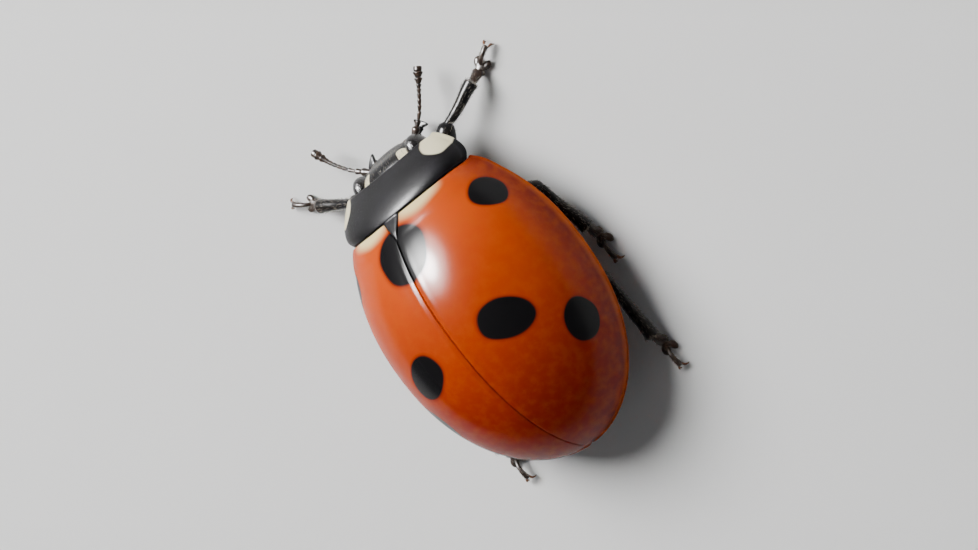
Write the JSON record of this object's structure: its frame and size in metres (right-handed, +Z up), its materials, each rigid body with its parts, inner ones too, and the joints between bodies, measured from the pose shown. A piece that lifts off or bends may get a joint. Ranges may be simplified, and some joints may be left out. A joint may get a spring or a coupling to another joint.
{
  "type": "ladybird model",
  "caption": "Still, life-size model of a standing seven-spot ladybird: domed spotted wing cases, pronotum, head with eyes and feelers, six legs, segmented belly.",
  "frame": {"origin": "middle of the whole beetle's box in X and Y, at the floor under its feet", "axes": "+Z up, -Y the way the beetle faces, +X its left side"},
  "size_m": [0.006, 0.0082, 0.0033],
  "materials": {
    "elytra": "glossy orange-red shell with black spots",
    "black_cuticle": "glossy black, finely punctured; white front corners on the pronotum",
    "dark_underside": "satin black with fine pale hairs",
    "eye": "glossy black, finely faceted",
    "legs": "black with brownish tips and short hairs"
  },
  "bodies": {
    "root": {"abdomen": "dark_underside", "antenna_left": "legs", "antenna_right": "legs", "elytron_left": "elytra", "elytron_right": "elytra", "eye_left": "eye", "eye_right": "eye", "head": "black_cuticle", "leg_front_left_coxa": "legs", "leg_front_left_femur": "legs", "leg_front_left_tarsus": "legs", "leg_front_left_tibia": "legs", "leg_front_right_coxa": "legs", "leg_front_right_femur": "legs", "leg_front_right_tarsus": "legs", "leg_front_right_tibia": "legs", "leg_hind_left_coxa": "legs", "leg_hind_left_femur": "legs", "leg_hind_left_tarsus": "legs", "leg_hind_left_tibia": "legs", "leg_hind_right_coxa": "legs", "leg_hind_right_femur": "legs", "leg_hind_right_tarsus": "legs", "leg_hind_right_tibia": "legs", "leg_middle_left_coxa": "legs", "leg_middle_left_femur": "legs", "leg_middle_left_tarsus": "legs", "leg_middle_left_tibia": "legs", "leg_middle_right_coxa": "legs", "leg_middle_right_femur": "legs", "leg_middle_right_tarsus": "legs", "leg_middle_right_tibia": "legs", "mouthparts": "black_cuticle", "palp_left": "legs", "palp_right": "legs", "pronotum": "black_cuticle", "prothorax": "dark_underside", "scutellum": "black_cuticle", "thorax": "dark_underside"}
  },
  "joints": []
}
